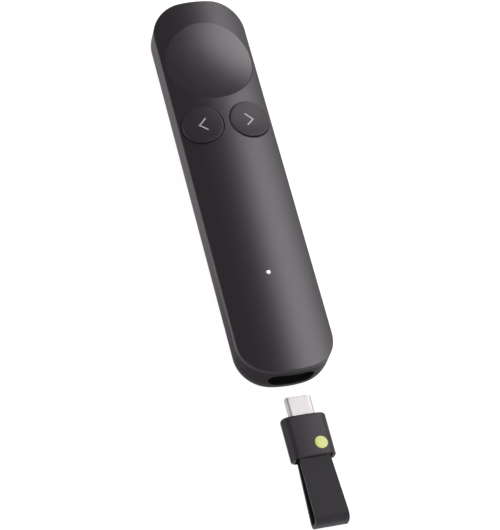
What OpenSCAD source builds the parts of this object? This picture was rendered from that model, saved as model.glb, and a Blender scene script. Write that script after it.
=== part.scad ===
// Wireless presentation clicker with a pull-out receiver.
// The clicker lies on its belly: +Z is up out of the face, +Y points to the front end.
// The origin is the centre of the flat underside. All lengths are in millimetres.

/* [Body] */
// Width across the side walls
body_w = 30; // [28:0.5:34]
// Length from end wall to end wall
body_l = 133; // [125:0.5:145]
// Height of the widest line above the table
belly_h = 4.7; // [4:0.1:6]
// Height of the crisp edge where the side wall meets the face
side_h = 10.2; // [9.5:0.1:11]
// Rise of the face from that edge to its middle
crown_h = 3.0; // [2:0.1:3.5]
// How far the side wall draws in at the foot
foot_inset = 1.5; // [1:0.1:2.5]
// Thickness of the face cover
cover_t = 1.4; // [1.2:0.1:1.6]
// Thickness of the case walls and floor
wall = 1.4; // [1.2:0.1:1.6]

/* [Ends] */
// Corner radius at the front end
front_corner_r = 10.4; // [9:0.1:12]
// Radius of the front end's shallow arc
front_arc_r = 90; // [60:1:120]
// Corner radius at the rear end
rear_corner_r = 11.4; // [9:0.1:12]
// Radius of the rear end's shallow arc
rear_arc_r = 34; // [30:1:60]

/* [Thumb pad and keys] */
// Radius of the dished thumb pad's opening
pad_r = 14.1; // [13:0.05:14.2]
// Place of the pad along the body
pad_y = 43.9; // [42:0.1:46]
// Radius of the key openings
key_r = 6.6; // [5.5:0.05:6.6]
// Place of the keys across the body
key_x = 7.5; // [7:0.05:7.5]
// Place of the keys along the body
key_y = 20.8; // [19:0.1:21]
// Radius of the pad's dish along the body
dish_r = 75; // [60:1:90]
// How far the lowest line of that dish lies behind the pad's middle, so that its front rim stands up
pad_low = 2.2; // [0:0.1:3]
// Radius of the keys' dishes along the body
key_dish_r = 42; // [36:1:60]
// Radius of the keys' tops across the body, flatter than the face so that their outer edges stand proud
key_cross_r = 52; // [42:1:60]
// How far the dishes of the keys lie above the middle of the face
key_proud = 0.1; // [0:0.05:0.3]
// Travel of the pad and the keys
travel = 0.4; // [0.2:0.05:0.4]

/* [Chevrons] */
// Half the height of a chevron
mark_h = 2.1; // [1.5:0.1:2.5]
// Depth of a chevron from its arms to its point
mark_d = 2.3; // [1.5:0.1:2.8]
// Width of its stroke
mark_w = 0.6; // [0.4:0.05:0.8]

/* [Status light] */
// Place of the light along the body
light_y = -33.3; // [-36:0.1:-31]
// Radius of the light pipe
light_r = 0.8; // [0.6:0.05:1]

/* [Dock] */
// Height of the dock's middle above the table
dock_z = 6.7; // [6.4:0.05:6.8]
// Width of the dock mouth
dock_w = 14.3; // [14.3:0.1:14.6]
// Height of the dock mouth
dock_h = 6.0; // [6:0.05:6.2]

/* [Receiver] */
// Width of the receiver
receiver_w = 13.7; // [13.2:0.1:13.7]
// Thickness of the receiver
receiver_h = 5.4; // [5.2:0.05:5.5]
// Length of the receiver without its plug
receiver_l = 13.6; // [13:0.1:15]
// How far the receiver is pulled out from its stowed place
pulled_out = 26.6; // [20:0.1:40]
// Width of the strap
strap_w = 10.7; // [9:0.1:11]
// Thickness of the strap
strap_t = 1.1; // [0.9:0.05:1.3]
// Reach of the strap loop behind the receiver
strap_reach = 21; // [18:0.5:24]

/* [Hidden] */
$fn = 64;

graphite = "#3b393c";
soft_black = "#2d2b2e";
board_green = "#1d4a37";
steel = "#c9c8cb";
tiny = 0.02;                 // clearance between pieces that are fixed to each other
gap = 0.2;                   // clearance round the pad and the keys
far = 100;                   // longer than anything that is cut

// The face is a cylinder along Y. Its radius follows from its width and its rise.
crown_r = (pow(body_w / 2, 2) + pow(crown_h, 2)) / (2 * crown_h);
body_h = side_h + crown_h;
crown_z = body_h - crown_r;
inner_r = crown_r - cover_t;

// Height of the face, and of the cover's underside, at a distance x from the middle
function face_z(x) = crown_z + sqrt(pow(crown_r, 2) - pow(x, 2));
function ceiling_z(x) = crown_z + sqrt(pow(inner_r, 2) - pow(x, 2));

// A dish is hollow along Y. Across the body it is crowned just so much that its rim stays flush.
pad_cross_r = 1 / (1 / crown_r - 1 / dish_r);
pad_dip = pow(pad_r, 2) / (2 * dish_r);

cap_z = 9.7;                 // underside of the pad and the keys
cap_rim = 1.2;               // width of the foot round their hollow
cap_hollow = 0.9;
post_r = 1.5;                // guide post under each of them
post_ring = 0.8;             // land round the post
tab_t = 0.9;                 // thickness of the tabs that keep them under the cover
pad_tab_w = 8;
key_tab_w = 3;

mark_floor_z = body_h - 1.6; // bottom of the grooves that the chevrons sit in
light_play = 0.05;

lip_in = wall + 0.1;         // from the outside of the case to the outside of the cover's lip
lip_t = 0.9;
lip_z = 7.4;                 // lower edge of the lip
lip_clear = 0.8;             // room between the lip and whatever moves
hook_spots = [-44, -14, 6];  // places of the snap hooks along the body
hook_l = 5;
hook_z = 6.2;                // lower end of a hook
barb = 0.45;

port_w = 8.94;               // outer size of a standard receptacle for the plug
port_h = 3.2;
port_l = 7.3;
plug_w = 8.25;               // outer size of the standard plug's shell
plug_h = 2.4;
plug_l = 6.5;

sleeve_t = 1.0;
end_y = -body_l / 2;
sleeve_y = end_y + wall;                       // the sleeve starts inside the end wall
stow_face_y = end_y + 0.4;                     // rear face of the receiver when it is stowed
receiver_y = stow_face_y - pulled_out;         // rear face of the receiver as it is drawn
nose_y = receiver_y + receiver_l;              // front face of the receiver
dock_floor_y = stow_face_y + receiver_l + 0.2; // bottom of the pocket

board_t = 0.8;
board_top = dock_z - port_h / 2;
board_z = board_top - board_t;
board_w = 24.6;
board_y0 = dock_floor_y + sleeve_t + 0.1;      // rear and front ends of the board
board_y1 = 60;
screw_x = 10.2;
screw_spots = [for (s = [-1, 1], y = [board_y0 + 3.2, board_y1 - 6.5]) [s * screw_x, y]];
screw_r = 0.62;
thread_r = 0.65;
boss_r = 2.1;

switch_w = 4.5;
switch_h = 1.6;
stem_r = 1.0;
stem_gap = 0.06;
stem_top = board_top + 2.2;
stem_bottom = board_top + travel + 0.15;

frame_z = 8.1;               // underside of the key carrier
frame_t = 0.8;

battery_w = 20;
battery_l = 36;
battery_t = 4.1;
battery_y = -9.5;            // middle of the cell
terrace_l = 2.4;             // its folded end
foam_t = 0.3;

motor_r = 4;
motor_t = 2.7;
motor_spot = [-6.8, -38];
shield_w = 9;
shield_h = 1.4;
shield_spot = [6.6, -38.5];

housing_t = 0.8;
receiver_corner = 2.3;
cap_t = 0.9;
pin_r = 0.7;
pin_y = receiver_y + 2.2;
pin_l = receiver_w - 1;
chamber_l = 4.2;                               // depth of the strap's chamber
chamber_h = receiver_h - 1.24;
eye_r = pin_r + tiny + strap_t;                // outer radius of the loop's eye on its pin
fold_r = 3.3;                                  // outer radius of the loop's far fold
badge_r = 2.0;
badge_t = 0.3;
badge_x = 2.9;
badge_y = receiver_y + 3.9;

arc_steps = 9;

// ---- outlines ----

// Points of an arc, both ends counted
function arc(c, r, a0, a1, n) = [for (i = [0 : n]) let (a = a0 + (a1 - a0) * i / n) c + r * [cos(a), sin(a)]];

// One end of the body, from the right side to the left: corner, shallow arc, corner.
// It is drawn for the front end, moved in by d.
function end_cap(corner_r, arc_r, d) =
    let (cx = body_w / 2 - corner_r,
         reach = body_l / 2 - arc_r,
         lift = sqrt(pow(arc_r - corner_r, 2) - pow(cx, 2)),
         cy = reach + lift,
         a = atan2(lift, cx))
    concat(arc([cx, cy], corner_r - d, 0, a, arc_steps),
           arc([0, reach], arc_r - d, a, 180 - a, arc_steps - 1),
           arc([-cx, cy], corner_r - d, 180 - a, 180, arc_steps));

// The whole plan, moved in by d. Its points keep their order, so plans can be stacked.
function plan(d = 0) = concat(end_cap(front_corner_r, front_arc_r, d),
    [for (p = end_cap(rear_corner_r, rear_arc_r, d)) -p]);

// A slot with round ends, and a rectangle with rounded corners, both centred
function pill(w, h, n = 8) = let (c = [(w - h) / 2, 0])
    concat(arc(c, h / 2, -90, 90, n), arc(-c, h / 2, 90, 270, n));
function round_rect(w, h, r, n = 5) = [for (q = [0 : 3])
    let (sx = q == 0 || q == 3 ? 1 : -1, sy = q < 2 ? 1 : -1)
    each arc([sx * (w / 2 - r), sy * (h / 2 - r)], r, 90 * q, 90 * q + 90, n)];

// A solid through a stack of closed rings that have the same number of points
module loft(rings) {
    n = len(rings[0]);
    last = len(rings) - 1;
    sides = [for (k = [0 : last - 1], i = [0 : n - 1]) let (j = (i + 1) % n)
        each [[k * n + i, (k + 1) * n + i, k * n + j], [k * n + j, (k + 1) * n + i, (k + 1) * n + j]]];
    polyhedron([for (r = rings) each r],
        concat([[for (i = [0 : n - 1]) i]], sides, [[for (i = [n - 1 : -1 : 0]) last * n + i]]),
        convexity = 6);
}

// A prism along Y from y0 to y1 with the outline given in X and Z about the dock's axis
module along_y(points, y0, y1, z = dock_z) {
    translate([0, y1, z]) rotate([90, 0, 0]) linear_extrude(y1 - y0) polygon(points);
}

// ---- the face ----

module cylinder_along_y(r) {
    translate([0, 0, crown_z]) rotate([90, 0, 0]) cylinder(r = r, h = 2 * far, center = true, $fn = 180);
}

// Everything above a dish: a wheel that lies across the body, with a waist of the cross radius
module dish_cut(y, floor_z, r, cross_r) {
    flange = 4;
    translate([0, y, floor_z + r]) rotate([0, 90, 0]) rotate_extrude($fn = 180)
        difference() {
            translate([0, -body_w / 2]) square([r + flange, body_w]);
            translate([r + cross_r, 0]) circle(r = cross_r, $fn = 360);
        }
}

module pad_dish_cut() {
    dish_cut(pad_y - pad_low, body_h - pad_dip, dish_r, pad_cross_r);
}

// One cut shapes both keys, so their tops belong to the same saddle.
module key_dish_cut(lower = 0) {
    dish_cut(key_y, body_h + key_proud - lower, key_dish_r, key_cross_r);
}

module top_cover() {
    color(graphite) difference() {
        union() {
            face_plate();
            cover_lip();
            for (s = [-1, 1], y = hook_spots) snap_hook(s, y);
            light_collar();
        }
        translate([0, pad_y, 0]) cylinder(r = pad_r, h = far);
        for (s = [-1, 1]) translate([s * key_x, key_y, 0]) cylinder(r = key_r, h = far);
        translate([0, light_y, 0]) cylinder(r = light_r + light_play, h = far);
    }
}

// The crowned plate, of even thickness
module face_plate() {
    difference() {
        intersection() {
            linear_extrude(body_h + 1) polygon(plan());
            cylinder_along_y(crown_r);
        }
        cylinder_along_y(inner_r);
    }
}

// The lip that drops inside the case wall. It stops beside the pad, the keys and the dock.
module cover_lip() {
    weld = 0.3;
    under_face = ceiling_z(body_w / 2 - wall);
    difference() {
        intersection() {
            translate([0, 0, lip_z]) linear_extrude(body_h) polygon(plan(lip_in));
            cylinder_along_y(inner_r + weld);
        }
        linear_extrude(far) polygon(plan(lip_in + lip_t));
        translate([0, pad_y, 0]) cylinder(r = pad_r + lip_clear, h = under_face);
        for (s = [-1, 1]) translate([s * key_x, key_y, 0]) cylinder(r = key_r + lip_clear, h = under_face);
        translate([-dock_w / 2 - 2, end_y, 0])
            cube([dock_w + 4, dock_floor_y - end_y + 2, ceiling_z(0) - 0.2]);
    }
}

// A snap hook on the lip. Its barb points outwards into a pocket of the case.
module snap_hook(side, y) {
    x = body_w / 2 - lip_in;
    top = lip_z + 0.6;
    translate([0, y + hook_l / 2, 0]) rotate([90, 0, 0]) linear_extrude(hook_l)
        polygon([for (p = [[x - lip_t, hook_z], [x, hook_z], [x + barb, hook_z + 0.6], [x, hook_z + 0.9],
            [x, top], [x - lip_t, top]]) [side * p[0], p[1]]]);
}

// The collar under the face that holds the light pipe
module light_collar() {
    collar_h = 1.1;
    translate([0, light_y, ceiling_z(0) + 0.2 - collar_h]) cylinder(r = light_r + 1.1, h = collar_h);
}

// ---- the case ----

function foot_in(z) = z >= belly_h ? 0 : foot_inset * (1 - sqrt(1 - pow(1 - z / belly_h, 2)));

module bottom_case() {
    levels = [0, 0.12, 0.45, 1.0, 1.9, 3.1, belly_h, body_h];
    weld = 0.2;
    rib_h = board_z - tiny - wall + weld;
    color(graphite) difference() {
        union() {
            difference() {
                loft([for (z = levels) [for (p = plan(foot_in(z))) [p[0], p[1], z]]]);
                translate([0, 0, wall]) linear_extrude(body_h) polygon(plan(wall));
            }
            for (p = screw_spots) translate([p[0], p[1], wall - weld]) cylinder(r = boss_r, h = rib_h);
            // cross ribs that carry the board under the battery
            for (y = [-26, -9, 8]) translate([-9, y, wall - weld]) cube([18, 1, rib_h]);
        }
        // the wall ends where the cover begins
        difference() {
            translate([-far, -far, side_h - 4]) cube([2 * far, 2 * far, far]);
            cylinder_along_y(inner_r - tiny);
        }
        // the dock's mouth
        along_y(pill(dock_w, dock_h), end_y - 5, end_y + 6);
        for (p = screw_spots) translate([p[0], p[1], wall]) cylinder(r = thread_r, h = far);
        for (s = [-1, 1], y = hook_spots) hook_pocket(s, y);
    }
}

// The pocket that a snap hook's barb sits in
module hook_pocket(side, y) {
    play = 0.2;
    translate([side * (body_w / 2 - wall), y, hook_z + 0.45])
        cube([1, hook_l + 2 * play, 0.9 + 2 * play], center = true);
}

// ---- pad and keys ----

// The blank of a cap, hollow underneath, standing on a guide post. Its top is left high for the dish cut.
module cap(x, y, r) {
    difference() {
        translate([x, y, cap_z]) cylinder(r = r, h = body_h + 1 - cap_z);
        translate([x, y, 0]) difference() {
            cylinder(r = r - cap_rim, h = cap_z + cap_hollow);
            cylinder(r = post_r + post_ring, h = cap_z + cap_hollow);
        }
    }
    translate([x, y, stem_top]) cylinder(r = post_r, h = cap_z - stem_top + tab_t);
}

// A tab on the rim of a cap, one in front of it and one behind it. It catches under the cover.
module tabs(x, y, r, w, z) {
    tab_l = 1.8;
    for (s = [-1, 1]) translate([x, y + s * r, z + tab_t / 2]) cube([w, tab_l, tab_t], center = true);
}

module pointer_button() {
    r = pad_r - gap / 2;
    color(graphite) {
        difference() {
            cap(0, pad_y, r);
            pad_dish_cut();
        }
        tabs(0, pad_y, r, pad_tab_w, ceiling_z(pad_tab_w / 2) - 0.1 - tab_t);
    }
}

module key(side) {
    r = key_r - gap;
    color(graphite) difference() {
        union() {
            cap(side * key_x, key_y, r);
            tabs(side * key_x, key_y, r, key_tab_w, cap_z);
        }
        key_dish_cut();
        chevron(side, mark_w, mark_floor_z);
    }
}

// A chevron that points outwards: < on the left, > on the right. It is taller than the inlay is deep.
module chevron(side, w, z0) {
    tip = mark_d / 2;
    slope = atan2(mark_h, mark_d);
    dx = w / 2 * sin(slope);
    dy = w / 2 * cos(slope);
    back = w / 2 / sin(slope);
    outline = [[tip + back, 0], [dx - tip, mark_h + dy], [-dx - tip, mark_h - dy],
        [tip - back, 0], [-dx - tip, dy - mark_h], [dx - tip, -mark_h - dy]];
    translate([side * key_x, key_y, z0]) linear_extrude(3) polygon([for (p = outline) [side * p[0], p[1]]]);
}

module mark(side) {
    color("#b0aeb0") difference() {
        chevron(side, mark_w - 2 * tiny, mark_floor_z + tiny);
        key_dish_cut(tiny);
    }
}

// ---- carrier, switches and stems ----

module key_frame() {
    y0 = key_y - 6;
    y1 = pad_y + 11;
    color("#8d8a86") difference() {
        union() {
            translate([0, (y0 + y1) / 2, frame_z]) linear_extrude(frame_t)
                polygon(round_rect(23.5, y1 - y0, 3));
            // legs that stand on the board
            for (s = [-1, 1], y = [y0 + 2.5, pad_y - 12, pad_y + 6])
                translate([s * 10, y, board_top + tiny]) cylinder(r = 1.1, h = frame_z - board_top);
        }
        for (p = [[0, pad_y], [-key_x, key_y], [key_x, key_y]])
            translate([p[0], p[1], frame_z - 1]) cylinder(r = post_r + stem_gap, h = 3);
        // windows that lighten the plate in front of the pad's post and behind it
        for (s = [-1, 1]) translate([0, pad_y + s * 6.5, frame_z - 1]) linear_extrude(3)
            polygon(round_rect(14, 5, 1.5));
    }
}

module switch(x, y) {
    color("#3a3f45") difference() {
        translate([x - switch_w / 2, y - switch_w / 2, board_top + tiny])
            cube([switch_w, switch_w, switch_h]);
        translate([x, y, board_top + 0.1]) cylinder(r = stem_r + stem_gap, h = 3);
    }
}

module stem(x, y) {
    color("#d8d4cc") translate([x, y, stem_bottom]) cylinder(r = stem_r, h = stem_top - stem_bottom);
}

// ---- board and what it carries ----

module main_board() {
    color(board_green) difference() {
        translate([0, (board_y0 + board_y1) / 2, board_z]) linear_extrude(board_t)
            polygon(round_rect(board_w, board_y1 - board_y0, 6));
        for (p = screw_spots) translate([p[0], p[1], 0]) cylinder(r = 0.9, h = far);
    }
}

module board_screws() {
    color(steel) for (p = screw_spots) {
        translate([p[0], p[1], board_top + tiny]) difference() {
            cylinder(r = 1.45, h = 0.7);
            translate([0, 0, 0.35]) cylinder(r = 0.6, h = 1, $fn = 6);
        }
        translate([p[0], p[1], board_z - 1.9]) cylinder(r = screw_r, h = 1.9 + board_t + 0.1);
    }
}

module battery() {
    z = board_top + foam_t + 2 * tiny;
    color("#b9babd") {
        translate([0, battery_y - terrace_l / 2, z]) linear_extrude(battery_t)
            polygon(round_rect(battery_w, battery_l - terrace_l, 1.6));
        // the folded terrace with the protection board
        translate([-7, battery_y + battery_l / 2 - terrace_l - 0.2, z + 0.8])
            cube([14, terrace_l + 0.2, 2.2]);
    }
}

module battery_pad() {
    color("#1b1b1d") translate([-8, battery_y - 14, board_top + tiny]) cube([16, 26, foam_t]);
}

// A coin motor with the terminal block on its side
module haptic_motor() {
    color(steel) translate([motor_spot[0], motor_spot[1], board_top + tiny]) {
        cylinder(r = motor_r, h = motor_t);
        translate([-1.5, motor_r - 0.6, 0]) cube([3, 2, 0.8]);
    }
}

// A drawn can, open towards the board
module processor_shield() {
    sheet = 0.2;
    color(steel) translate([shield_spot[0], shield_spot[1], board_top + tiny]) difference() {
        linear_extrude(shield_h) polygon(round_rect(shield_w, shield_w, 0.6));
        translate([0, 0, -sheet]) linear_extrude(shield_h)
            polygon(round_rect(shield_w - 2 * sheet, shield_w - 2 * sheet, 0.4));
    }
}

module antenna() {
    color("#e6e2d6") translate([-3.5, board_y1 - 3.2, board_top + tiny]) cube([7, 2, 1.1]);
}

module status_led() {
    color("#f4f0c8") translate([-0.8, light_y - 0.4, board_top + tiny]) cube([1.6, 0.8, 0.6]);
}

// A clear pin that ends flush with the face, with a wider foot over the lamp
module light_pipe() {
    foot_z = board_top + 0.8;
    color("white") {
        intersection() {
            translate([0, light_y, foot_z]) cylinder(r = light_r, h = far);
            cylinder_along_y(crown_r + tiny);
        }
        translate([0, light_y, foot_z]) cylinder(r = light_r + 0.7, h = 1.2);
    }
}

// ---- dock ----

module dock_sleeve() {
    color(soft_black) difference() {
        // its rear end follows the inside of the end wall
        intersection() {
            along_y(pill(dock_w + 2 * sleeve_t, dock_h + 2 * sleeve_t, 10), sleeve_y,
                dock_floor_y + sleeve_t);
            linear_extrude(body_h) polygon(plan(wall + tiny));
        }
        along_y(pill(dock_w, dock_h, 10), sleeve_y, dock_floor_y);
        along_y(pill(port_w + 0.1, port_h + 0.1), dock_floor_y - 1, dock_floor_y + 3);
    }
}

module charge_port() {
    y0 = dock_floor_y + 0.1;
    color(steel) difference() {
        along_y(pill(port_w, port_h), y0, y0 + port_l);
        along_y(pill(8.4, 2.6), y0 - 1, y0 + port_l - 0.4);
    }
}

module port_tongue() {
    y1 = dock_floor_y + 0.1 + port_l - 0.4 - tiny;
    color("#1b1b1d") {
        along_y([[-3.3, -0.33], [3.3, -0.33], [3.3, 0.33], [-3.3, 0.33]], y1 - 5.2, y1);
        along_y(pill(8.3, 2.5), y1 - 0.6, y1);
    }
}

// ---- receiver ----

module receiver_housing() {
    edge = 0.55;
    section = function (d) round_rect(receiver_w - 2 * d, receiver_h - 2 * d, receiver_corner - d);
    // from the nose to the rear: place along the housing and how far its ends are drawn in there
    steps = [[receiver_l, edge], [receiver_l - 0.15, 0.25], [receiver_l - edge, 0],
        [edge, 0], [0.15, 0.25], [0, edge]];
    color(soft_black) difference() {
        loft([for (s = steps) [for (p = section(s[1])) [p[0], receiver_y + s[0], dock_z + p[1]]]]);
        // the board pocket, open to the front, and the seat of its cap
        along_y(round_rect(receiver_w - 2 * housing_t, receiver_h - 2 * housing_t, 1.2), receiver_y + 4.8,
            nose_y + 1);
        // the strap's chamber, open to the rear
        along_y(round_rect(strap_w + 0.4, chamber_h, 0.3), receiver_y - 1, receiver_y + chamber_l);
        // the pin's bores in both cheeks
        across(pin_r + tiny, pin_l);
        // the seat of the round inlay
        translate([badge_x, badge_y, dock_z + receiver_h / 2 - badge_t]) cylinder(r = badge_r + tiny, h = 2);
    }
}

module receiver_badge() {
    color("#b9cf3f") translate([badge_x, badge_y, dock_z + receiver_h / 2 - badge_t + tiny])
        cylinder(r = badge_r, h = badge_t - tiny);
}

module receiver_cap() {
    d = housing_t + tiny;
    color(soft_black) difference() {
        along_y(round_rect(receiver_w - 2 * d, receiver_h - 2 * d, 1.2 - tiny), nose_y - cap_t, nose_y);
        along_y(pill(plug_w + 0.06, plug_h + 0.06), nose_y - 5, nose_y + 5);
    }
}

module receiver_plug() {
    color("#dedde0") difference() {
        along_y(pill(plug_w, plug_h), nose_y - 2.6, nose_y + plug_l);
        along_y(pill(plug_w - 0.6, plug_h - 0.6), nose_y - 3, nose_y + plug_l + 1);
    }
}

module plug_insert() {
    color("#1b1b1d") difference() {
        along_y(pill(plug_w - 0.6 - 2 * tiny, plug_h - 0.6 - 2 * tiny), nose_y - 2.5, nose_y + plug_l - 0.3);
        // the slot that takes the tongue
        along_y([[-3.45, -0.42], [3.45, -0.42], [3.45, 0.42], [-3.45, 0.42]], nose_y + 0.6,
            nose_y + plug_l + 1);
    }
}

// The board in the receiver, with its radio chip
module receiver_board() {
    y0 = receiver_y + 5;
    y1 = nose_y - 2.7;
    color(board_green) translate([-5.2, y0, dock_z - board_t / 2]) cube([10.4, y1 - y0, board_t]);
    color(soft_black) translate([-2.6, y0 + 1, dock_z + board_t / 2 - 0.1]) cube([5, 3.4, 0.9]);
}

// A round bar across the receiver
module across(r, l) {
    translate([0, pin_y, dock_z]) rotate([0, 90, 0]) cylinder(r = r, h = l, center = true);
}

module strap_pin() {
    color(steel) across(pin_r, pin_l - 0.1);
}

// Side view of the loop, moved in by d: a small round eye on the pin, straight runs and a larger round fold
function teardrop(d) =
    let (r0 = eye_r - d,
         r1 = fold_r - d,
         span = pin_y - (receiver_y - strap_reach) - fold_r,
         tilt = asin((r1 - r0) / span))
    concat(arc([0, 0], r0, -90 - tilt, 90 + tilt, 14), arc([-span, 0], r1, 90 + tilt, 270 - tilt, 22));

module strap_loop() {
    color(soft_black) translate([-strap_w / 2, pin_y, dock_z]) rotate([90, 0, 90]) linear_extrude(strap_w)
        difference() {
            polygon(teardrop(0));
            polygon(teardrop(strap_t));
        }
}

module pointer_switch() { switch(0, pad_y); }
module back_switch() { switch(-key_x, key_y); }
module next_switch() { switch(key_x, key_y); }
module pointer_stem() { stem(0, pad_y); }
module back_stem() { stem(-key_x, key_y); }
module next_stem() { stem(key_x, key_y); }
module back_button() { key(-1); }
module next_button() { key(1); }
module back_mark() { mark(-1); }
module next_mark() { mark(1); }

top_cover();
bottom_case();
pointer_button();
back_button();
next_button();
back_mark();
next_mark();
light_pipe();
dock_sleeve();
charge_port();
port_tongue();
main_board();
board_screws();
pointer_switch();
back_switch();
next_switch();
pointer_stem();
back_stem();
next_stem();
key_frame();
battery();
battery_pad();
haptic_motor();
processor_shield();
antenna();
status_led();
receiver_housing();
receiver_cap();
receiver_plug();
plug_insert();
receiver_board();
receiver_badge();
strap_pin();
strap_loop();
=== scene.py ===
"""The look of a presentation clicker: moulded shells, thumb pad, keys, receiver and strap loop.

Pieces are modelled in millimetres, in the clicker's own frame, and brought to metres when they
are finished: +Z up out of the face, +Y to the front end, the origin in the middle of the flat
underside.
"""

from math import asin, atan2, copysign, cos, degrees, hypot, pi, radians, sin, sqrt

import bmesh
import bpy
from mathutils import Matrix, Vector


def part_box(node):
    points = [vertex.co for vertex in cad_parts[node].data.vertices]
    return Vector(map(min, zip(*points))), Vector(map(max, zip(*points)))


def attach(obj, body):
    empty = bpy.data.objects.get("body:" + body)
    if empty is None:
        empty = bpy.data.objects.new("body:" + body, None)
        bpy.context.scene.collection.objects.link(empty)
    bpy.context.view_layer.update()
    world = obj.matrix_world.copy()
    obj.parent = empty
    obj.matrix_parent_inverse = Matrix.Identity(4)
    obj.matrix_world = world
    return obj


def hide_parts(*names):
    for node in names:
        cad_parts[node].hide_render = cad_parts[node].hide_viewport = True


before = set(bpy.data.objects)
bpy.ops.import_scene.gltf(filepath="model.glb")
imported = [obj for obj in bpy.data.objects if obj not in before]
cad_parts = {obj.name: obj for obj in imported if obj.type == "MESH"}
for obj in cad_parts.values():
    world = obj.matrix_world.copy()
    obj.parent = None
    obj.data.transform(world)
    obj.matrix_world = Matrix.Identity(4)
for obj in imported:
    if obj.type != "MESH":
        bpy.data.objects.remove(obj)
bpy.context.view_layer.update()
bpy.ops.object.select_all(action="DESELECT")

MM = 0.001

# ---- sizes of the clicker in millimetres ----

BODY_W, BODY_L = 30.0, 133.0
BELLY_H = 4.7                # the widest line
SIDE_H = 10.2                # the crisp edge between the side wall and the face
CROWN_H = 3.0                # rise of the face above that edge
FOOT_INSET = 1.5
WALL, COVER_T = 1.4, 1.4
FRONT_CORNER_R, FRONT_ARC_R = 10.4, 90.0
REAR_CORNER_R, REAR_ARC_R = 11.4, 34.0
PAD_R, PAD_Y = 14.1, 43.9
KEY_R, KEY_X, KEY_Y = 6.6, 7.5, 20.8
DISH_R = 75.0                # the pad's dish, along the body
PAD_LOW = 2.2                # how far its lowest line lies behind the pad's middle
KEY_DISH_R, KEY_CROSS_R = 42.0, 52.0   # the keys' saddle, along and across the body
KEY_PROUD = 0.1              # of the saddle's middle over the middle of the face
CAP_Z = 9.7                  # underside of the pad and the keys
CAP_RIM, CAP_HOLLOW, POST_RING = 1.2, 0.9, 0.8
POST_R, POST_FOOT = 1.5, 7.3
MARK_H, MARK_D, MARK_W = 2.1, 2.3, 0.46
MARK_T, GROOVE_T = 1.5, 1.6
LIGHT_Y, LIGHT_R = -33.3, 0.8
LENS_FOOT = 5.9              # height of its flange
FLANGE_T, FLANGE_SCALE = 0.1, 1.8
DOCK_Z, DOCK_W, DOCK_H = 6.7, 14.3, 6.0
RECEIVER_W, RECEIVER_H, RECEIVER_L = 13.7, 5.4, 13.6
RECEIVER_Y = -92.7           # rear face of the receiver
NOSE_Y = RECEIVER_Y + RECEIVER_L
RECEIVER_CORNER = 2.3
RECEIVER_CROWN_R = 40.0      # of its top, across
HOUSING_T = 0.8
POCKET_Y = 4.8               # where the board's pocket starts
CHAMBER_L, CHAMBER_T = 4.2, 0.62       # the strap's chamber and the walls above and below it
CHAMBER_CORNER, POCKET_CORNER = 0.3, 1.2
CHEEK = 0.5                  # what the pin's bore leaves of both side walls
PIN_Y, PIN_R = RECEIVER_Y + 2.2, 0.7
PLUG_W, PLUG_H, PLUG_L, PLUG_T = 8.25, 2.4, 6.5, 0.3
PLUG_ROOT = 2.6              # its length inside the housing
CONTACTS, CONTACT_PITCH, CONTACT_W, CONTACT_CORNER = 12, 0.5, 0.25, 0.08
PLUG_CONTACTS = 2.2, PLUG_L - 1.2      # where they start and end in front of the nose
TONGUE_CONTACTS = 0.6, 4.2             # and behind the tip of the port's tongue
PLUG_LEVELS, TONGUE_LEVELS = (0.37, 0.43), (0.32, 0.36)   # their faces, above the dock's middle
STRAP_W, STRAP_T, STRAP_REACH = 10.7, 1.1, 21.0
STRAP_NARROW, STRAP_WIDE = 0.88, 0.965  # shares of its width, at the pin and at the fold
TAPER_L = STRAP_REACH + 1.0
STRAP_PLAY = 0.4
FOLD_R = 3.3
FOLD_POWER = 2.8             # 2 would be round, and more is squarer
BADGE_X, BADGE_Y, BADGE_R, BADGE_T = 2.9, RECEIVER_Y + 3.9, 2.0, 0.3

# gaps and rounded edges
SLIP = 0.02                  # between pieces that fit together
PAD_GAP, KEY_GAP, LENS_GAP = 0.1, 0.12, 0.05
COVER_RIM, OPENING_RIM, MOUTH_RIM = 0.22, 0.06, 0.25
PAD_RIM, KEY_RIM, LENS_RIM = 0.06, 0.4, 0.2
RECEIVER_RIM, BADGE_RIM, STRAP_RIM = 0.55, 0.08, 0.22
PLUG_RIM, PLUG_INNER_RIM = 0.18, 0.08

# modelling
NEAR = 0.01                  # points this close to a face lie on it
TOUCH = 0.1                  # and this close to a rim belong to it
THROUGH = 5.0                # reach of a drill past the face
STAND_OUT = 1.0              # how far a cutter stands out of what it cuts
MOUTH_REACH = 6.0            # of its cutter, both ways from the rear end
MOUTH_DEPTH = 1.0            # its outer rim lies this close to the rear end
LEVEL = 0.99                 # least height of a level face's normal
SMOOTH = 35                  # degrees up to which two faces are shaded as one
CORNER_STEPS, ARC_STEPS, BELLY_STEPS = 24, 20, 14
PAD_SIDES, CAP_SIDES, LIGHT_SIDES, BADGE_SIDES, BORE_SIDES = 192, 128, 48, 64, 32
CAP_RINGS, CAP_MIDDLE = 9, 0.4         # rings on a cap's top, and the innermost one's radius
TOP_SKIN = 0.5               # points this close under a top follow its dish
UPRIGHT, ALONG_Y, ALONG_X = (0, 0, 0), (90, 0, 0), (0, 90, 0)

CROWN_R = ((BODY_W / 2) ** 2 + CROWN_H**2) / (2 * CROWN_H)
BODY_H = SIDE_H + CROWN_H
CROWN_Z = BODY_H - CROWN_R
INNER_R = CROWN_R - COVER_T


def face_z(x):
    """Height of the crowned face."""
    return CROWN_Z + sqrt(CROWN_R**2 - x**2)


def ceiling_z(x):
    """Height of the cover's underside."""
    return CROWN_Z + sqrt(INNER_R**2 - x**2)


# ---- outlines ----


def arc(cx, cy, r, start, end, steps):
    """Points of an arc, angles in radians, both ends counted."""
    turns = [start + (end - start) * i / steps for i in range(steps + 1)]
    return [(cx + r * cos(a), cy + r * sin(a)) for a in turns]


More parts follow.
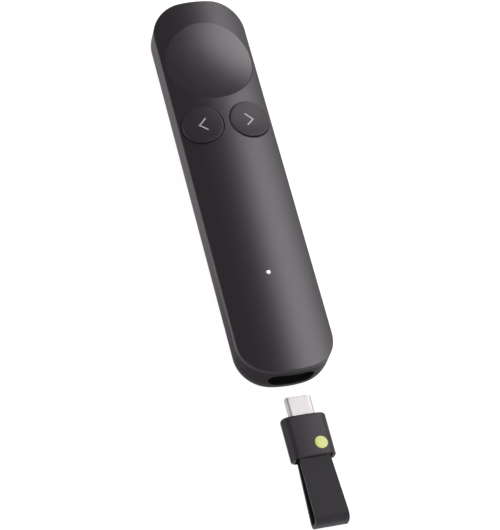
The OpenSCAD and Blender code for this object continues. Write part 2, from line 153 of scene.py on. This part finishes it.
def end_cap(corner_r, arc_r):
    """One end of the body from its right side to its left: corner, shallow arc, corner."""
    cx = BODY_W / 2 - corner_r
    reach = BODY_L / 2 - arc_r
    lift = sqrt((arc_r - corner_r) ** 2 - cx**2)
    turn = atan2(lift, cx)
    corner = arc(cx, reach + lift, corner_r, 0, turn, CORNER_STEPS)
    middle = arc(0, reach, arc_r, turn, pi - turn, ARC_STEPS)
    return corner + middle[1:-1] + [(-x, y) for x, y in reversed(corner)]


def body_plan():
    """The whole plan of the body."""
    front = end_cap(FRONT_CORNER_R, FRONT_ARC_R)
    rear = end_cap(REAR_CORNER_R, REAR_ARC_R)
    return front + [(-x, -y) for x, y in rear]


def pill(width, height, steps):
    """A slot with round ends."""
    cx, r = (width - height) / 2, height / 2
    return arc(cx, 0, r, -pi / 2, pi / 2, steps) + arc(-cx, 0, r, pi / 2, 3 * pi / 2, steps)


def rounded_box_plan(width, height, r, steps):
    """A rectangle with rounded corners."""
    points = []
    for quarter, (sx, sy) in enumerate([(1, 1), (-1, 1), (-1, -1), (1, -1)]):
        cx, cy, start = sx * (width / 2 - r), sy * (height / 2 - r), quarter * pi / 2
        points += arc(cx, cy, r, start, start + pi / 2, steps)
    return points


def disc(r, sides):
    """A round outline."""
    return arc(0, 0, r, 0, 2 * pi, sides)[:-1]


# ---- modelling by hand ----


def plate(name, outline, z=0.0):
    """A flat face with the given outline: a filled circle whose points are moved onto it."""
    bpy.ops.object.select_all(action="DESELECT")
    bpy.ops.mesh.primitive_circle_add(vertices=len(outline), radius=1, fill_type="NGON")
    piece = bpy.context.object
    piece.name = piece.data.name = name
    for point, (x, y) in zip(piece.data.vertices, outline):
        point.co = (x, y, z)
    return piece


def choose(piece):
    """Makes a piece the only selected one."""
    bpy.ops.object.select_all(action="DESELECT")
    piece.select_set(True)
    bpy.context.view_layer.objects.active = piece


def edit(piece):
    """Opens a piece for modelling, with nothing selected."""
    choose(piece)
    bpy.ops.object.mode_set(mode="EDIT")
    bpy.ops.mesh.select_mode(type="FACE")
    bpy.ops.mesh.select_all(action="DESELECT")


def done():
    """Closes the piece that is open for modelling."""
    bpy.ops.object.mode_set(mode="OBJECT")


def pick_all():
    """Selects everything in the open piece."""
    bpy.ops.mesh.select_all(action="SELECT")


def pick_level(side):
    """Selects the level faces that look up, for side 1, or down, for side -1."""
    bpy.ops.mesh.select_mode(type="FACE")
    bpy.ops.mesh.select_all(action="DESELECT")
    data = bpy.context.object.data
    mesh = bmesh.from_edit_mesh(data)
    for face in mesh.faces:
        face.select_set(side * face.normal.z > LEVEL)
    bmesh.update_edit_mesh(data)


def pick_edges(test, sharp=30):
    """Selects the edges between faces at an angle, where both ends pass the test."""
    bpy.ops.mesh.select_mode(type="EDGE")
    bpy.ops.mesh.select_all(action="DESELECT")
    data = bpy.context.object.data
    mesh = bmesh.from_edit_mesh(data)
    for edge in mesh.edges:
        bent = len(edge.link_faces) == 2 and degrees(edge.calc_face_angle(0)) > sharp
        edge.select_set(bent and all(test(v.co) for v in edge.verts))
    bmesh.update_edit_mesh(data)


def pull(rise):
    """Extrudes what is selected, straight up by the rise."""
    bpy.ops.mesh.extrude_region_move(TRANSFORM_OT_translate={"value": (0, 0, rise)})


def narrow(width, rise=0.0):
    """Insets what is selected, and moves the new face out by the rise."""
    bpy.ops.mesh.inset(thickness=width, depth=rise, use_even_offset=True)


def round_edges(width, steps):
    """Rounds the selected edges."""
    bpy.ops.mesh.bevel(
        offset=width, offset_type="OFFSET", segments=steps, affect="EDGES", clamp_overlap=True
    )


def cut_strips(axis, middle, step, count):
    """Cuts the open piece into strips, count on both sides, so that it can take a curve."""
    normal = [float(name == axis) for name in "XYZ"]
    for i in range(-count, count + 1):
        pick_all()
        bpy.ops.mesh.bisect(plane_co=[n * (middle + i * step) for n in normal], plane_no=normal)


def close_solid():
    """Turns all faces of the open piece outwards."""
    pick_all()
    bpy.ops.mesh.normals_make_consistent(inside=False)


def prism(name, outline, low, high):
    """A closed solid with an upright wall."""
    piece = plate(name, outline, high)
    edit(piece)
    pick_all()
    pull(low - high)
    close_solid()
    done()
    return piece


def stand(piece, turn, place):
    """Turns a piece and puts it in its place, in its mesh."""
    choose(piece)
    piece.rotation_euler = [radians(a) for a in turn]
    piece.location = place
    bpy.ops.object.transform_apply(location=True, rotation=True, scale=True)
    return piece


def use(piece, other):
    """Cuts a piece with another, which is used up."""
    cut = piece.modifiers.new("cut", "BOOLEAN")
    cut.operation, cut.object, cut.solver = "DIFFERENCE", other, "EXACT"
    bpy.context.view_layer.objects.active = piece
    bpy.ops.object.modifier_apply(modifier=cut.name)
    bpy.data.objects.remove(other)


def drill(piece, x, y, r, low, high, sides):
    """An upright round hole."""
    use(piece, stand(prism("drill", disc(r, sides), low, high), UPRIGHT, (x, y, 0)))


def finish_piece(piece, body, slot, material, *nodes):
    """Brings a piece to metres, shades it and gives it its material.

    It is hung on its body, in place of the CAD nodes that it replaces.
    """
    choose(piece)
    piece.scale = (MM, MM, MM)
    bpy.ops.object.transform_apply(location=True, rotation=True, scale=True)
    bpy.ops.object.shade_smooth_by_angle(angle=radians(SMOOTH))
    weigh = piece.modifiers.new("weigh", "WEIGHTED_NORMAL")
    weigh.keep_sharp = True
    bpy.ops.object.modifier_apply(modifier=weigh.name)
    piece.data.materials.clear()
    piece.data.materials.append(material)
    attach(piece, body)
    if nodes:
        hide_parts(*nodes)


# ---- materials ----

SPECULAR = "Specular IOR Level"
PATCH = 9.0                  # millimetres over which a surface's two tones drift

# where a look fades, in millimetres; the flank's and the rear walls' fading shine is painted shade
FLANK_PAINTED_SHADE = CROWN_R - 0.3, CROWN_R - 0.03  # off the crown's axis: below the crisp edge, and at it
REAR_PAINTED_SHADE = 68, 121                   # behind the front end
LAMP_GLOW = 0.35, LIGHT_R              # off the middle of the light
RUBBED_EDGES = 6.35, RECEIVER_W / 2    # off the receiver's middle


def linear(hex_colour):
    """An sRGB hex colour as linear red, green, blue and alpha."""
    parts = [int(hex_colour[i : i + 2], 16) / 255 for i in (1, 3, 5)]
    return [c / 12.92 if c <= 0.04045 else ((c + 0.055) / 1.055) ** 2.4 for c in parts] + [1.0]


def add(tree, kind, inputs=(), **settings):
    """Adds a node with its settings, and with values or links on its inputs."""
    node = tree.nodes.new(kind)
    for key, value in settings.items():
        setattr(node, key, value)
    for key, value in dict(inputs).items():
        if isinstance(value, bpy.types.NodeSocket):
            tree.links.new(value, node.inputs[key])
        else:
            node.inputs[key].default_value = value
    return node


def ramp(tree, value, reach, values, **settings):
    """Turns a value inside a reach into one between two others."""
    ends = {"From Min": reach[0], "From Max": reach[1], "To Min": values[0], "To Max": values[1]}
    return add(tree, "ShaderNodeMapRange", {"Value": value, **ends}, **settings).outputs["Result"]


def surface(name, light, dark, roughness, grain, depth, spread=0.04, **shader):
    """A moulded, pressed or coated surface.

    light and dark are the two tones it drifts between, grain is the size of its fine texture in
    millimetres and depth that texture's height, and the roughness drifts by the spread.
    """
    material = bpy.data.materials.new(name)
    material.use_nodes = True
    tree = material.node_tree
    tree.nodes.clear()
    place = add(tree, "ShaderNodeTexCoord").outputs["Object"]

    def noise(size, detail):
        sized = {"Vector": place, "Scale": 1 / (size * MM), "Detail": detail}
        return add(tree, "ShaderNodeTexNoise", sized).outputs["Fac"]

    cloud, fine = noise(PATCH, 3.0), noise(grain, 2.0)
    tones = {0: cloud, 6: linear(light), 7: linear(dark)}
    tone = add(tree, "ShaderNodeMix", tones, data_type="RGBA").outputs[2]
    sheen = ramp(tree, fine, (0.0, 1.0), (roughness - spread, roughness + spread))
    relief = {"Height": fine, "Distance": depth * MM, "Strength": 1.0}
    normal = add(tree, "ShaderNodeBump", relief).outputs["Normal"]
    base = {"Base Color": tone, "Roughness": sheen, "Normal": normal}
    shading = add(tree, "ShaderNodeBsdfPrincipled", {**base, **shader})
    add(tree, "ShaderNodeOutputMaterial", {"Surface": shading.outputs["BSDF"]})
    return material


def fade(material, socket, origin, counted, reach, values):
    """Lets an input of a material drift between two values as the distance from a point grows.

    The point and the two ends of the reach are in millimetres. A direction that isn't counted
    leaves the distance from an axis or from a plane.
    """
    tree = material.node_tree
    place = add(tree, "ShaderNodeTexCoord").outputs["Object"]
    counting = {0: place, 1: counted}
    flat = add(tree, "ShaderNodeVectorMath", counting, operation="MULTIPLY").outputs["Vector"]
    ends = {0: flat, 1: [c * MM for c in origin]}
    away = add(tree, "ShaderNodeVectorMath", ends, operation="DISTANCE").outputs["Value"]
    drift = ramp(tree, away, [r * MM for r in reach], values, interpolation_type="SMOOTHSTEP")
    shading = next(node for node in tree.nodes if node.type == "BSDF_PRINCIPLED")
    tree.links.new(drift, shading.inputs[socket])


# Polycarbonate blend with a sprayed soft-satin coat: a wide, smooth highlight and almost no grain.
# Its shine is turned down on the flank under the crisp edge: painted shade for the shadowed table
# it reflects.
satin_coat = surface(
    "satin coat on polycarbonate", "#232023", "#211e21", 0.376, 0.35, 0.0003, spread=0.02
)
fade(satin_coat, SPECULAR, (0, 0, CROWN_Z), (1, 0, 1), FLANK_PAINTED_SHADE, (0.12, 0.5))
# The pad has a finer coat over the same blend, smooth for the thumb, so its highlight is tighter.
satin_pad = surface("satin coat on the pad", "#262226", "#242024", 0.32, 0.35, 0.0003, spread=0.02)
# The two keys keep the moulded grain under a thin matt coat, so they shine less than the face.
matt_keys = surface(
    "matt coat on the keys", "#272427", "#252225", 0.444, 0.30, 0.0005, **{SPECULAR: 0.31}
)
# Moulded polycarbonate of the case, a fine spark-eroded grain that spreads the light a little more.
# Its shine fades towards the dock, which darkens the end wall: painted shade for the shadowed table
# it reflects.
case_blend = surface("spark-eroded polycarbonate", "#1f1d1f", "#1c1a1c", 0.46, 0.30, 0.0006)
fade(case_blend, SPECULAR, (0, BODY_L / 2, 0), (0, 1, 0), REAR_PAINTED_SHADE, (0.24, 0.04))
# Acrylic-styrene inlay of the chevrons, moulded pale grey.
pale_inlay = surface("pale grey second shot", "#abaaab", "#a3a1a3", 0.45, 0.25, 0.0004)
# Clear acrylic pin, lit from below by a white lamp: bright in the middle, faint at its rim.
lit_acrylic = surface(
    "lit acrylic", "#8d8b8d", "#858385", 0.25, 0.3, 0.0002, **{"Emission Color": linear("#fdfdff")}
)
fade(lit_acrylic, "Emission Strength", (0, LIGHT_Y, BODY_H), (1, 1, 1), LAMP_GLOW, (1.0, 0.02))
# Black acetal of the dock's lining, unpolished, so it swallows light.
black_acetal = surface("unpolished black acetal", "#101012", "#0b0b0d", 0.6, 0.3, 0.0010)
# Moulded polycarbonate of the receiver, a touch darker than the body.
# Its outermost edges are rubbed matt by the dock.
receiver_blend = surface("receiver polycarbonate", "#252326", "#222023", 0.5, 0.30, 0.0008)
fade(receiver_blend, SPECULAR, (0, 0, 0), (1, 0, 0), RUBBED_EDGES, (0.36, 0.1))
# Liquid silicone rubber of the strap: a soft dull sheen and a dust-fine bloom.
bloom = {SPECULAR: 0.3, "Sheen Weight": 0.05}
silicone = surface("silicone rubber", "#201e22", "#1d1c1f", 0.6, 0.22, 0.0010, **bloom)
# Nickel plate on a drawn steel shell, satin from tumbling.
satin_nickel = surface("satin nickel plate", "#c4c4c3", "#bcbcbb", 0.55, 0.20, 0.0004, Metallic=1.0)
# Stamped stainless steel of the port, the shield, the motor and the screws, bright from the press.
stamped_steel = surface(
    "stamped stainless steel", "#c6c4c2", "#b8b6b4", 0.34, 0.25, 0.0006, Metallic=1.0
)
# Lime acrylic-styrene disc, glossy as it left the mould.
lime_disc = surface("lime gloss moulding", "#b6c348", "#afbc42", 0.22, 0.5, 0.0003)
# Glass-filled nylon of the contact carriers, black and slightly fibrous.
black_nylon = surface("glass-filled black nylon", "#19191b", "#131315", 0.5, 0.25, 0.0015)
# Natural nylon of the key carrier and the stems, milky.
milky_nylon = surface(
    "natural nylon", "#cfc9bd", "#c6c0b3", 0.45, 0.5, 0.0010, **{"Subsurface Weight": 0.1}
)
# Green solder mask over glass laminate, with the weave showing faintly through.
solder_mask = surface("green solder mask", "#1c4f39", "#174432", 0.3, 0.45, 0.0015)
# Laminated foil pouch of the cell, dull from rolling.
foil_pouch = surface("rolled foil pouch", "#c3c4c8", "#b5b6ba", 0.42, 0.6, 0.0030, Metallic=0.9)
# Black foam with adhesive on both sides, open cells.
foam_tape = surface("black foam tape", "#1c1c1e", "#121214", 0.85, 0.35, 0.0100)
# Fired alumina of the chips, off-white and dry.
alumina = surface("fired alumina", "#e2dccb", "#d7d0bd", 0.55, 0.2, 0.0010)
# Gold flash on the contacts, warm and bright.
gold_flash = surface("gold flash", "#e6c069", "#d9b25c", 0.28, 0.2, 0.0003, Metallic=1.0)

# ---- the face cover ----


def crown(piece):
    """Lifts a plate that was modelled flat onto the crowned face, thickness and all."""
    for point in piece.data.vertices:
        x, depth = point.co.x, -point.co.z / COVER_T
        point.co.z = face_z(x) + depth * (ceiling_z(x) - face_z(x))


def in_opening(p):
    """Whether a point lies on the rim of one of the openings in the face."""
    keys = [(side * KEY_X, KEY_Y, KEY_R) for side in (-1, 1)]
    rims = [(0, PAD_Y, PAD_R), *keys, (0, LIGHT_Y, LIGHT_R)]
    return any(hypot(p.x - x, p.y - y) < r + TOUCH for x, y, r in rims)


def make_cover():
    """Face plate with its openings and its rounded rims."""
    cover = prism("face_cover", body_plan(), -COVER_T, 0)
    drill(cover, 0, PAD_Y, PAD_R, -THROUGH, THROUGH, PAD_SIDES)
    for side in (-1, 1):
        drill(cover, side * KEY_X, KEY_Y, KEY_R, -THROUGH, THROUGH, CAP_SIDES)
    drill(cover, 0, LIGHT_Y, LIGHT_R + LENS_GAP, -THROUGH, THROUGH, LIGHT_SIDES)
    edit(cover)
    pick_edges(lambda p: p.z > -NEAR and not in_opening(p))
    round_edges(COVER_RIM, 3)
    pick_edges(lambda p: p.z > -NEAR and in_opening(p))
    round_edges(OPENING_RIM, 2)
    cut_strips("X", middle=0, step=0.5, count=30)
    done()
    crown(cover)
    finish_piece(cover, "body", "coated_shell", satin_coat, "top_cover")


# ---- the case ----


def on_mouth(p):
    """Whether a point lies on the rim of the dock's mouth, in the rear end wall."""
    dx, dz = abs(p.x) - DOCK_W / 2, abs(p.z - DOCK_Z) - DOCK_H / 2
    return p.y < MOUTH_DEPTH - BODY_L / 2 and max(dx, dz) < TOUCH


def make_case():
    """Tray with a rounded belly, open under the cover, and the dock's mouth in its rear wall."""
    case = prism("case_shell", body_plan(), BELLY_H, SIDE_H)
    edit(case)
    # the belly: the underside is drawn in and down along a quarter of an ellipse
    pick_level(-1)
    inset = sink = 0.0
    for i in range(1, BELLY_STEPS + 1):
        turn = pi / 2 * i / BELLY_STEPS
        new_inset, new_sink = FOOT_INSET * (1 - cos(turn)), BELLY_H * sin(turn)
        narrow(new_inset - inset, new_sink - sink)
        inset, sink = new_inset, new_sink
    # the hollow
    pick_level(1)
    narrow(WALL)
    pull(WALL - SIDE_H)
    cut_strips("X", middle=0, step=1.0, count=15)
    done()
    # the wall ends under the cover
    for point in case.data.vertices:
        if point.co.z > SIDE_H - NEAR:
            point.co.z = ceiling_z(point.co.x) - SLIP
    mouth = prism("mouth", pill(DOCK_W, DOCK_H, 24), 0, 2 * MOUTH_REACH)
    use(case, stand(mouth, ALONG_Y, (0, MOUTH_REACH - BODY_L / 2, DOCK_Z)))
    edit(case)
    pick_edges(on_mouth, 45)
    round_edges(MOUTH_RIM, 3)
    done()
    finish_piece(case, "body", "case_plastic", case_blend, "bottom_case")


# ---- thumb pad, keys and chevrons ----


def dish_z(x, y, floor, r, waist):
    """Height of a dish, hollow along Y by the radius r and crowned across by the waist."""
    wheel = r + waist - sqrt(waist**2 - x**2)
    return floor + r - sqrt(wheel**2 - y**2)


def pad_z(x, y):
    """Height of the pad's top, flush with the face on both sides and raised a little in front."""
    floor, waist = BODY_H - PAD_R**2 / (2 * DISH_R), 1 / (1 / CROWN_R - 1 / DISH_R)
    return dish_z(x, y - PAD_Y + PAD_LOW, floor, DISH_R, waist)


def key_z(x, y):
    """Height of the keys' tops, which share one saddle that is flatter than the face."""
    return dish_z(x, y - KEY_Y, BODY_H + KEY_PROUD, KEY_DISH_R, KEY_CROSS_R)


def dress_top(piece, height):
    """Moves the top of a piece, modelled flat at the face's height, onto a dished surface."""
    for point in piece.data.vertices:
        if point.co.z > BODY_H - TOP_SKIN:
            point.co.z += height(point.co.x, point.co.y) - BODY_H


def make_cap(name, x, y, r, height, rim):
    """A cap with a dished top, hollow underneath round its guide post."""
    cap = stand(prism(name, disc(r, CAP_SIDES), CAP_Z, BODY_H), UPRIGHT, (x, y, 0))
    edit(cap)
    pick_edges(lambda p: p.z > BODY_H - NEAR)
    round_edges(rim, 4)
    pick_level(1)
    for _ in range(CAP_RINGS):
        narrow((r - rim - CAP_MIDDLE) / CAP_RINGS)
    # the hollow and the post
    pick_level(-1)
    narrow(CAP_RIM)
    pull(CAP_HOLLOW)
    narrow(r - CAP_RIM - POST_R - POST_RING)
    pull(-CAP_HOLLOW)
    narrow(POST_RING)
    pull(POST_FOOT - CAP_Z)
    done()
    dress_top(cap, height)
    return cap


def make_pad():
    """The big dished pad."""
    pad = make_cap("thumb_pad", 0, PAD_Y, PAD_R - PAD_GAP, pad_z, PAD_RIM)
    finish_piece(pad, "pointer", "key_plastic", satin_pad, "pointer_button")


def chevron_outline(side, width):
    """An angle that points outwards: to the left on the left key, to the right on the right."""
    tip = side * MARK_D / 2
    slope = atan2(MARK_H, MARK_D)
    half = width / 2
    back = half / sin(slope)
    dx, dy = side * half * sin(slope), half * cos(slope)
    points = [
        (tip + side * back, 0),
        (-tip + dx, MARK_H + dy),
        (-tip - dx, MARK_H - dy),
        (tip - side * back, 0),
        (-tip - dx, -MARK_H + dy),
        (-tip + dx, -MARK_H - dy),
    ]
    return [(side * KEY_X + x, KEY_Y + y) for x, y in points[:: side]]


def make_key(name, mark_name, side, node, mark_node, body):
    """One key and the chevron let into it."""
    key = make_cap(name, side * KEY_X, KEY_Y, KEY_R - KEY_GAP, key_z, KEY_RIM)
    groove = chevron_outline(side, MARK_W)
    use(key, prism("groove", groove, BODY_H - GROOVE_T, BODY_H + 2 * STAND_OUT))
    finish_piece(key, body, "key_plastic", matt_keys, node)
    mark = prism(mark_name, chevron_outline(side, MARK_W - SLIP), BODY_H - MARK_T, BODY_H)
    edit(mark)
    cut_strips("Y", middle=KEY_Y, step=0.5, count=4)
    done()
    dress_top(mark, key_z)
    finish_piece(mark, body, "mark_inlay", pale_inlay, mark_node)


# ---- the status light ----


def make_lens():
    """The clear pin of the status light, its end rounded, with a flange at its foot."""
    lens = prism("status_lens", disc(LIGHT_R, LIGHT_SIDES), LENS_FOOT, BODY_H)
    edit(lens)
    pick_edges(lambda p: p.z > BODY_H - NEAR)
    round_edges(LENS_RIM, 4)
    pick_level(-1)
    pull(0.0)
    bpy.ops.transform.resize(value=(FLANGE_SCALE, FLANGE_SCALE, 1))
    pull(-FLANGE_T)
    done()
    stand(lens, UPRIGHT, (0, LIGHT_Y, 0))
    finish_piece(lens, "body", "light", lit_acrylic, "light_pipe")


# ---- receiver ----


def receiver_drop(x):
    """How far the receiver's crowned top has fallen at a distance from the middle."""
    return x**2 / (2 * RECEIVER_CROWN_R)


def receiver_section():
    """The receiver's outline from behind: round corners and a faintly crowned top."""
    corner_steps, top_steps = 12, 10
    plan = rounded_box_plan(RECEIVER_W, RECEIVER_H, RECEIVER_CORNER, corner_steps)
    flat = RECEIVER_W / 2 - RECEIVER_CORNER
    # the flat top, between the first two corners, needs points to take the crown
    top = [(flat * (1 - i / top_steps), RECEIVER_H / 2) for i in range(1, 2 * top_steps)]
    plan[corner_steps + 1 : corner_steps + 1] = top
    return [(x, y - receiver_drop(x) * max(y, 0) / (RECEIVER_H / 2)) for x, y in plan]


def make_housing():
    """Rounded housing with the strap's chamber behind and the board's pocket in front."""
    shell = prism("receiver_shell", receiver_section(), 0, RECEIVER_L)
    edit(shell)
    pick_edges(lambda p: p.z < NEAR or p.z > RECEIVER_L - NEAR, 60)
    round_edges(RECEIVER_RIM, 5)
    done()
    stand(shell, ALONG_Y, (0, NOSE_Y, DOCK_Z))
    width, height = STRAP_W + STRAP_PLAY, RECEIVER_H - 2 * CHAMBER_T
    plan = rounded_box_plan(width, height, CHAMBER_CORNER, 4)
    chamber = prism("chamber", plan, 0, CHAMBER_L + STAND_OUT)
    use(shell, stand(chamber, ALONG_Y, (0, RECEIVER_Y + CHAMBER_L, DOCK_Z)))
    width, height = RECEIVER_W - 2 * HOUSING_T, RECEIVER_H - 2 * HOUSING_T
    plan = rounded_box_plan(width, height, POCKET_CORNER, 6)
    pocket = prism("pocket", plan, 0, RECEIVER_L - POCKET_Y + STAND_OUT)
    use(shell, stand(pocket, ALONG_Y, (0, NOSE_Y + STAND_OUT, DOCK_Z)))
    end = RECEIVER_W / 2 - CHEEK
    bore = prism("bore", disc(PIN_R + SLIP, BORE_SIDES), -end, end)
    use(shell, stand(bore, ALONG_X, (0, PIN_Y, DOCK_Z)))
    seat = DOCK_Z + RECEIVER_H / 2 - BADGE_T
    drill(shell, BADGE_X, BADGE_Y, BADGE_R + SLIP, seat, DOCK_Z + THROUGH, BADGE_SIDES)
    finish_piece(shell, "receiver", "receiver_plastic", receiver_blend, "receiver_housing")


def make_badge():
    """The round inlay, which follows the crown of the housing."""
    top = DOCK_Z + RECEIVER_H / 2
    badge = prism("lime_dot", disc(BADGE_R, BADGE_SIDES), top - BADGE_T + SLIP, top)
    stand(badge, UPRIGHT, (BADGE_X, BADGE_Y, 0))
    edit(badge)
    pick_edges(lambda p: p.z > top - NEAR)
    round_edges(BADGE_RIM, 3)
    cut_strips("X", middle=BADGE_X, step=0.4, count=4)
    done()
    for point in badge.data.vertices:
        point.co.z -= receiver_drop(point.co.x)
    finish_piece(badge, "receiver", "lime_inlay", lime_disc, "receiver_badge")


def on_plug(p):
    """Whether a point lies on the outside of the plug, while it stands upright on the origin."""
    beyond = max(abs(p.x) - (PLUG_W - PLUG_H) / 2, 0)
    return hypot(beyond, p.y) > PLUG_H / 2 - TOUCH


def make_plug():
    """The drawn shell of the plug, open at both ends, with rounded lips."""
    plug = prism("plug_shell", pill(PLUG_W, PLUG_H, 20), 0, PLUG_L + PLUG_ROOT)
    inner = pill(PLUG_W - 2 * PLUG_T, PLUG_H - 2 * PLUG_T, 20)
    use(plug, prism("plug_hollow", inner, -STAND_OUT, PLUG_L + PLUG_ROOT + STAND_OUT))
    edit(plug)
    pick_edges(lambda p: p.z < NEAR and on_plug(p), 60)
    round_edges(PLUG_RIM, 4)
    pick_edges(lambda p: p.z < NEAR and not on_plug(p), 60)
    round_edges(PLUG_INNER_RIM, 2)
    done()
    stand(plug, ALONG_Y, (0, NOSE_Y + PLUG_L, DOCK_Z))
    finish_piece(plug, "receiver", "plug_nickel", satin_nickel, "receiver_plug")


def make_contacts(name, body, origin, reach, levels):
    """A row of gold contacts above the middle of the plug's mouth and one below it."""
    start, end = reach
    inner, outer = levels
    plan = rounded_box_plan(CONTACT_W, end - start, CONTACT_CORNER, 3)
    contacts = prism(name, plan, inner, outer)
    first = -(CONTACTS - 1) / 2 * CONTACT_PITCH
    stand(contacts, UPRIGHT, (first, origin + (start + end) / 2, DOCK_Z))
    edit(contacts)
    pick_all()
    for _ in range(CONTACTS - 1):
        bpy.ops.mesh.duplicate_move(TRANSFORM_OT_translate={"value": (CONTACT_PITCH, 0, 0)})
    pick_all()
    bpy.ops.mesh.duplicate_move(TRANSFORM_OT_translate={"value": (0, 0, -inner - outer)})
    done()
    finish_piece(contacts, body, "bright_steel", gold_flash)


def squared(reach):
    """Moves a coordinate of the round fold out, so that the fold has a flatter end."""
    return copysign(FOLD_R * (abs(reach) / FOLD_R) ** (2 / FOLD_POWER), reach)


def teardrop():
    """Side view of the strap loop: a small eye on its pin, straight runs and a larger fold."""
    eye = PIN_R + SLIP + STRAP_T
    span = PIN_Y - (RECEIVER_Y - STRAP_REACH) - FOLD_R
    tilt = asin((FOLD_R - eye) / span)
    near = arc(0, 0, eye, -pi / 2 - tilt, pi / 2 + tilt, 24)
    far = arc(0, 0, FOLD_R, pi / 2 + tilt, 3 * pi / 2 - tilt, 48)
    return near + [(-span + squared(x), squared(y)) for x, y in far]


def make_strap():
    """A flat band moulded as a closed loop, with soft edges."""
    strap = plate("strap", teardrop())
    edit(strap)
    pick_all()
    narrow(STRAP_T)
    bpy.ops.mesh.delete(type="FACE")
    pick_all()
    pull(STRAP_W)
    close_solid()
    pick_edges(lambda p: True, 60)
    round_edges(STRAP_RIM, 3)
    done()
    stand(strap, (90, 0, 90), (-STRAP_W / 2, PIN_Y, DOCK_Z))
    # the band widens from the pin to the fold
    for point in strap.data.vertices:
        along = min(max((PIN_Y - point.co.y) / TAPER_L, 0), 1)
        point.co.x *= STRAP_NARROW + (STRAP_WIDE - STRAP_NARROW) * along
    finish_piece(strap, "receiver", "strap_rubber", silicone, "strap_loop")


# ---- camera, floor and lights ----

PHOTO_TURN, PHOTO_RISE, PHOTO_ROLL = -30.35, 59.37, 18.92       # degrees
PHOTO_PLACE = (-0.18175, -0.33190, 0.60376)                     # metres
PHOTO_LENS, SENSOR = 154.9, 36                                  # millimetres
TABLE_W, TABLE_GLOW = 8, 0.96
ROOM_RISE, ROOM_GLOW = (0.14, 0.42), (0.95, 0.14)   # pale near the horizon, dimmer overhead
SOFTBOX_AWAY, SOFTBOX_W = 8.0, 2.4     # metres; far enough to light the whole length alike
SOFTBOXES = {                          # direction and power
    # three in a row at the right and in front draw the wide stripe along the face
    "key_low": ((0.712, 0.346, 0.611), 92),
    "key_middle": ((0.535, 0.447, 0.717), 126),
    "key_high": ((0.39, 0.256, 0.885), 132),
    # one more stands further back and is caught by the front half of the pad's dish
    "key_back": ((0.50, -0.06, 0.864), 150),
    # the side walls, the plug and the strap are lit from the left and from behind
    "side": ((-0.83, 0.35, 0.38), 84),
    "rear_corner": ((-0.70, -0.50, 0.48), 40),
    "rear": ((0.10, -0.80, 0.55), 150),
}


def place_camera():
    """The photograph's viewpoint: turned round the clicker, raised and rolled."""
    bpy.ops.object.camera_add()
    camera = bpy.context.object
    camera.name = "photo_camera"
    turn = Matrix.Rotation(radians(PHOTO_TURN), 4, "Z")
    rise = Matrix.Rotation(pi / 2 - radians(PHOTO_RISE), 4, "X")
    roll = Matrix.Rotation(radians(PHOTO_ROLL), 4, "Z")
    camera.matrix_world = Matrix.Translation(Vector(PHOTO_PLACE)) @ turn @ rise @ roll
    camera.data.lens, camera.data.sensor_width = PHOTO_LENS, SENSOR
    camera.data.clip_start, camera.data.clip_end = 0.01, 20
    bpy.context.scene.camera = camera


def softbox(name, direction, power):
    """A square studio light that looks at the clicker's middle from a direction."""
    away = Vector(direction).normalized()
    bpy.ops.object.light_add(type="AREA", location=away * SOFTBOX_AWAY)
    light = bpy.context.object
    light.name = name
    light.rotation_euler = away.to_track_quat("Z", "Y").to_euler()
    light.data.shape = "SQUARE"
    light.data.size = SOFTBOX_W
    light.data.energy = power
    light.data.color = linear("#fffaff")[:3]


def make_table():
    """A white table that glows a little, so that it stays white under the clicker."""
    bpy.ops.mesh.primitive_plane_add(size=TABLE_W)
    floor = bpy.context.object
    floor.name = "floor"
    # White acrylic sheet, lit from below: white to the eye, with next to no shadow.
    table = bpy.data.materials.new("backlit white acrylic table")
    table.use_nodes = True
    tree = table.node_tree
    tree.nodes.clear()
    white = add(tree, "ShaderNodeBsdfDiffuse", {"Color": linear("#8a8a8a")})
    glow = add(tree, "ShaderNodeEmission", {"Color": linear("#fffbff"), "Strength": TABLE_GLOW})
    both = add(tree, "ShaderNodeAddShader", {0: white.outputs["BSDF"], 1: glow.outputs["Emission"]})
    add(tree, "ShaderNodeOutputMaterial", {"Surface": both.outputs["Shader"]})
    floor.data.materials.append(table)


def make_room():
    """The pale room round the table."""
    world = bpy.data.worlds.new("room")
    world.use_nodes = True
    sky = world.node_tree
    sky.nodes.clear()
    way = add(sky, "ShaderNodeTexCoord").outputs["Generated"]
    height = add(sky, "ShaderNodeSeparateXYZ", {0: way}).outputs["Z"]
    strength = ramp(sky, height, ROOM_RISE, ROOM_GLOW, interpolation_type="SMOOTHSTEP")
    pale = add(sky, "ShaderNodeBackground", {"Color": linear("#fffbff"), "Strength": strength})
    add(sky, "ShaderNodeOutputWorld", {"Surface": pale.outputs["Background"]})
    bpy.context.scene.world = world


# ---- putting it together ----

make_cover()
make_case()
make_pad()
make_key("back_key", "back_chevron", -1, "back_button", "back_mark", "back")
make_key("next_key", "next_chevron", 1, "next_button", "next_mark", "next")
make_lens()
make_housing()
make_badge()
make_plug()
make_contacts("plug_contacts", "receiver", NOSE_Y, PLUG_CONTACTS, PLUG_LEVELS)
tongue_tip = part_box("port_tongue")[0][1] / MM
make_contacts("tongue_contacts", "body", tongue_tip, TONGUE_CONTACTS, TONGUE_LEVELS)
make_strap()

# what stays as the CAD model has it gets its own finish
KEPT = {
    black_acetal: ["dock_sleeve", "pointer_switch", "back_switch", "next_switch"],
    stamped_steel: ["charge_port", "board_screws", "haptic_motor", "processor_shield", "strap_pin"],
    black_nylon: ["port_tongue", "plug_insert"],
    receiver_blend: ["receiver_cap"],
    milky_nylon: ["pointer_stem", "back_stem", "next_stem", "key_frame"],
    solder_mask: ["main_board", "receiver_board"],
    foil_pouch: ["battery"],
    foam_tape: ["battery_pad"],
    alumina: ["antenna", "status_led"],
}
for material, names in KEPT.items():
    for name in names:
        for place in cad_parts[name].material_slots:
            place.material = material

make_table()
make_room()
for name, (direction, power) in SOFTBOXES.items():
    softbox(name, direction, power)
bpy.context.scene.view_settings.view_transform = "Standard"
bpy.context.scene.view_settings.look = "None"
place_camera()
